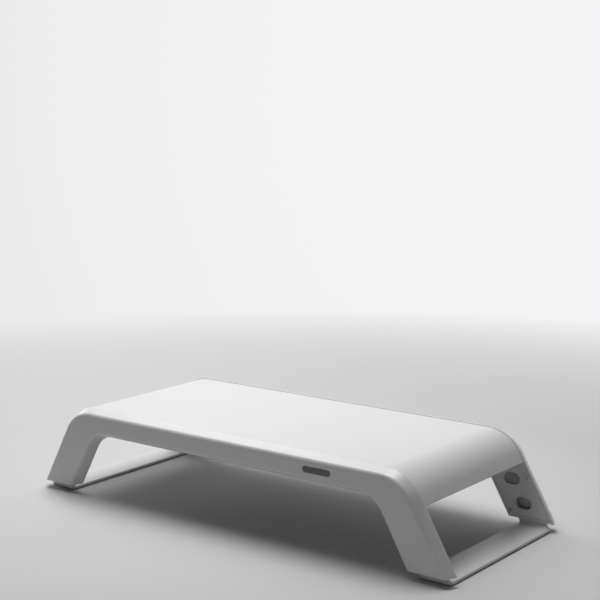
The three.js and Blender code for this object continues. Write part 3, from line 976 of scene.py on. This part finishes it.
piece("deck_panel_v", deck(), WHITE, "stand", "deck_panel")
piece("front_arch_v", arch(True), WHITE, "stand", "front_arch")
piece("rear_arch_v", reflected(arch(False), 1, -1), WHITE, "stand", "rear_arch")
piece("rail_badge_v", badge(), DARK, "stand", "rail_badge")

cover = leg_cover()
frame_right = foot_frame()
sole_right = sole()
button = latch_button()
spring = latch_spring()
tab_screw = screw(TAB_SCREW)
cover_screw = screw(COVER_SCREW)
spring_rivet = rivet()


def put(bm, x, y, z, turn_x=0.0):
    """A copy of a fastener, turned about X and moved to where its head's underside rests."""
    copy = bm.copy()
    copy.transform(Matrix.Translation((x, y, z)) @ Matrix.Rotation(turn_x, 4, "X"))
    return copy


for end, end_sign in ENDS:
    for number, x in enumerate(TAB_SCREW_X, 1):
        node = f"arch_screw_{end}_{number}"
        y = end_sign * (HALF_DEPTH - TAB_SCREW_DEPTH)
        piece(node + "_v", put(tab_screw, x, y, TAB_HEIGHTS[0] - GAP), STEEL, "stand", node)

for side, side_sign in SIDES:
    foot = f"foot_{side}"
    node = f"foot_frame_{side}"
    piece(node + "_v", reflected(frame_right, side_sign, 1), OFF_WHITE, foot, node)
    node = f"foot_sole_{side}"
    piece(node + "_v", reflected(sole_right, side_sign, 1), RUBBER, foot, node)
    for end, end_sign in ENDS:
        where = f"{end}_{side}"
        outwards = -end_sign * math.pi / 2
        node = f"leg_cover_{where}"
        piece(node + "_v", reflected(cover, side_sign, -end_sign), WHITE, "stand", node)
        node = f"latch_button_{where}"
        placed = reflected(button, side_sign, -end_sign)
        piece(node + "_v", placed, GREY, f"button_{where}", node)
        node = f"latch_spring_{where}"
        piece(node + "_v", reflected(spring, side_sign, -end_sign), STEEL, foot, node)
        node = f"spring_rivet_{where}"
        x = side_sign * leg_centre(RIVET_HEIGHT)
        y = end_sign * (HALF_DEPTH - FOOT_DEPTH + GAP + SPRING_THICKNESS + GAP)
        piece(node + "_v", put(spring_rivet, x, y, RIVET_HEIGHT, -outwards), STEEL, foot, node)
        for number, (offset, height) in enumerate(COVER_SCREWS, 1):
            node = f"cover_screw_{where}_{number}"
            x = side_sign * (leg_centre(height) + offset)
            y = end_sign * (HALF_DEPTH - ARCH_DEPTH - GAP)
            piece(node + "_v", put(cover_screw, x, y, height, outwards), STEEL, "stand", node)


# ---------- floor, light and camera, in metres ----------

FLOOR_REACH = 1.4
FLOOR_FADE = (0.45, 1.3)  # where the floor starts to thin out, and where it has gone
FLOOR_COLOUR = (0.55, 0.55, 0.55, 1)
WALL_BRIGHT_WAY = (-0.4, 0.92, 0.0)
WALL_DIM_TO = 0.4
WALL_DIM = 0.08
WALL_BRIGHT = 0.9
CAMERA_PLACE = (0.9057, -1.1308, 0.4609)
CAMERA_LENS = 82.1
CAMERA_AZIMUTH = 0.6644
CAMERA_ELEVATION = 0.1580
CAMERA_ROLL = -0.0067


def floor():
    """A round pale floor that thins out into the studio's walls."""
    bm = bmesh.new()
    bmesh.ops.create_circle(bm, cap_ends=True, radius=FLOOR_REACH, segments=96)
    mesh = bpy.data.meshes.new("floor")
    bm.to_mesh(mesh)
    bm.free()
    thing = bpy.data.objects.new("floor", mesh)
    bpy.context.scene.collection.objects.link(thing)
    n = Nodes("pale_floor")
    distance = n.add("ShaderNodeVectorMath", operation="LENGTH")
    n.link(n.where, distance, 0)
    solid = n.ranged(distance.outputs["Value"], *FLOOR_FADE, 1.0, 0.0)
    n.link(solid, n.shader, "Alpha")
    n.shader.inputs["Base Color"].default_value = FLOOR_COLOUR
    n.shader.inputs["Roughness"].default_value = 0.9
    n.shader.inputs["Specular IOR Level"].default_value = 0.1
    mesh.materials.append(n.material)


def area_light(name, place_at, aim, width, height, power):
    """A rectangular lamp at place_at, facing aim."""
    light = bpy.data.lights.new(name, "AREA")
    light.shape = "RECTANGLE"
    light.size = width
    light.size_y = height
    light.energy = power
    thing = bpy.data.objects.new(name, light)
    thing.location = place_at
    thing.rotation_euler = (Vector(aim) - Vector(place_at)).to_track_quat("-Z", "Y").to_euler()
    bpy.context.scene.collection.objects.link(thing)


def studio_world():
    """Walls that are brightest behind the object's left end and dimmest in front of it."""
    world = bpy.data.worlds.new("studio")
    world.use_nodes = True
    tree = world.node_tree
    where = tree.nodes.new("ShaderNodeTexCoord")
    along = tree.nodes.new("ShaderNodeVectorMath")
    along.operation = "DOT_PRODUCT"
    along.inputs[1].default_value = WALL_BRIGHT_WAY
    tree.links.new(where.outputs["Generated"], along.inputs[0])
    spread = tree.nodes.new("ShaderNodeMapRange")
    spread.interpolation_type = "SMOOTHSTEP"
    for socket, number in (
        ("From Min", WALL_DIM_TO), ("From Max", 1.0), ("To Min", WALL_DIM), ("To Max", WALL_BRIGHT),
    ):
        spread.inputs[socket].default_value = number
    tree.links.new(along.outputs["Value"], spread.inputs["Value"])
    background = tree.nodes["Background"]
    background.inputs["Color"].default_value = (1, 1, 1, 1)
    tree.links.new(spread.outputs["Result"], background.inputs["Strength"])
    bpy.context.scene.world = world


floor()
area_light("overhead", (-0.1, 0.05, 1.1), (-0.05, 0, 0.08), 0.8, 0.5, 11)
area_light("sheen", (-0.75, 0.38, 0.95), (0, -0.05, 0.1), 0.6, 0.5, 4)
area_light("left_fill", (-1.7, 0.2, 0.5), (-0.25, 0, 0.02), 1.0, 0.5, 4.5)
area_light("window_fill", (0.95, -1.9, 0.25), (0.25, 0.1, 0.04), 0.6, 0.4, 1.8)
studio_world()
bpy.context.scene.view_settings.view_transform = "Standard"


def camera_turn(azimuth, elevation, roll):
    """The turn of a camera that stands at an azimuth right of straight ahead and looks down."""
    level = math.cos(elevation)
    forward = Vector((-math.sin(azimuth) * level, math.cos(azimuth) * level, -math.sin(elevation)))
    right = Vector((math.cos(azimuth), math.sin(azimuth), 0))
    up = right.cross(forward)
    rolled_right = math.cos(roll) * right + math.sin(roll) * up
    rolled_up = math.cos(roll) * up - math.sin(roll) * right
    return Matrix((rolled_right, rolled_up, -forward)).transposed().to_4x4()


camera_data = bpy.data.cameras.new("camera")
camera_data.sensor_width = 36
camera_data.lens = CAMERA_LENS
camera = bpy.data.objects.new("camera", camera_data)
bpy.context.scene.collection.objects.link(camera)
bpy.context.scene.camera = camera
turn = camera_turn(CAMERA_AZIMUTH, CAMERA_ELEVATION, CAMERA_ROLL)
camera.matrix_world = Matrix.Translation(CAMERA_PLACE) @ turn
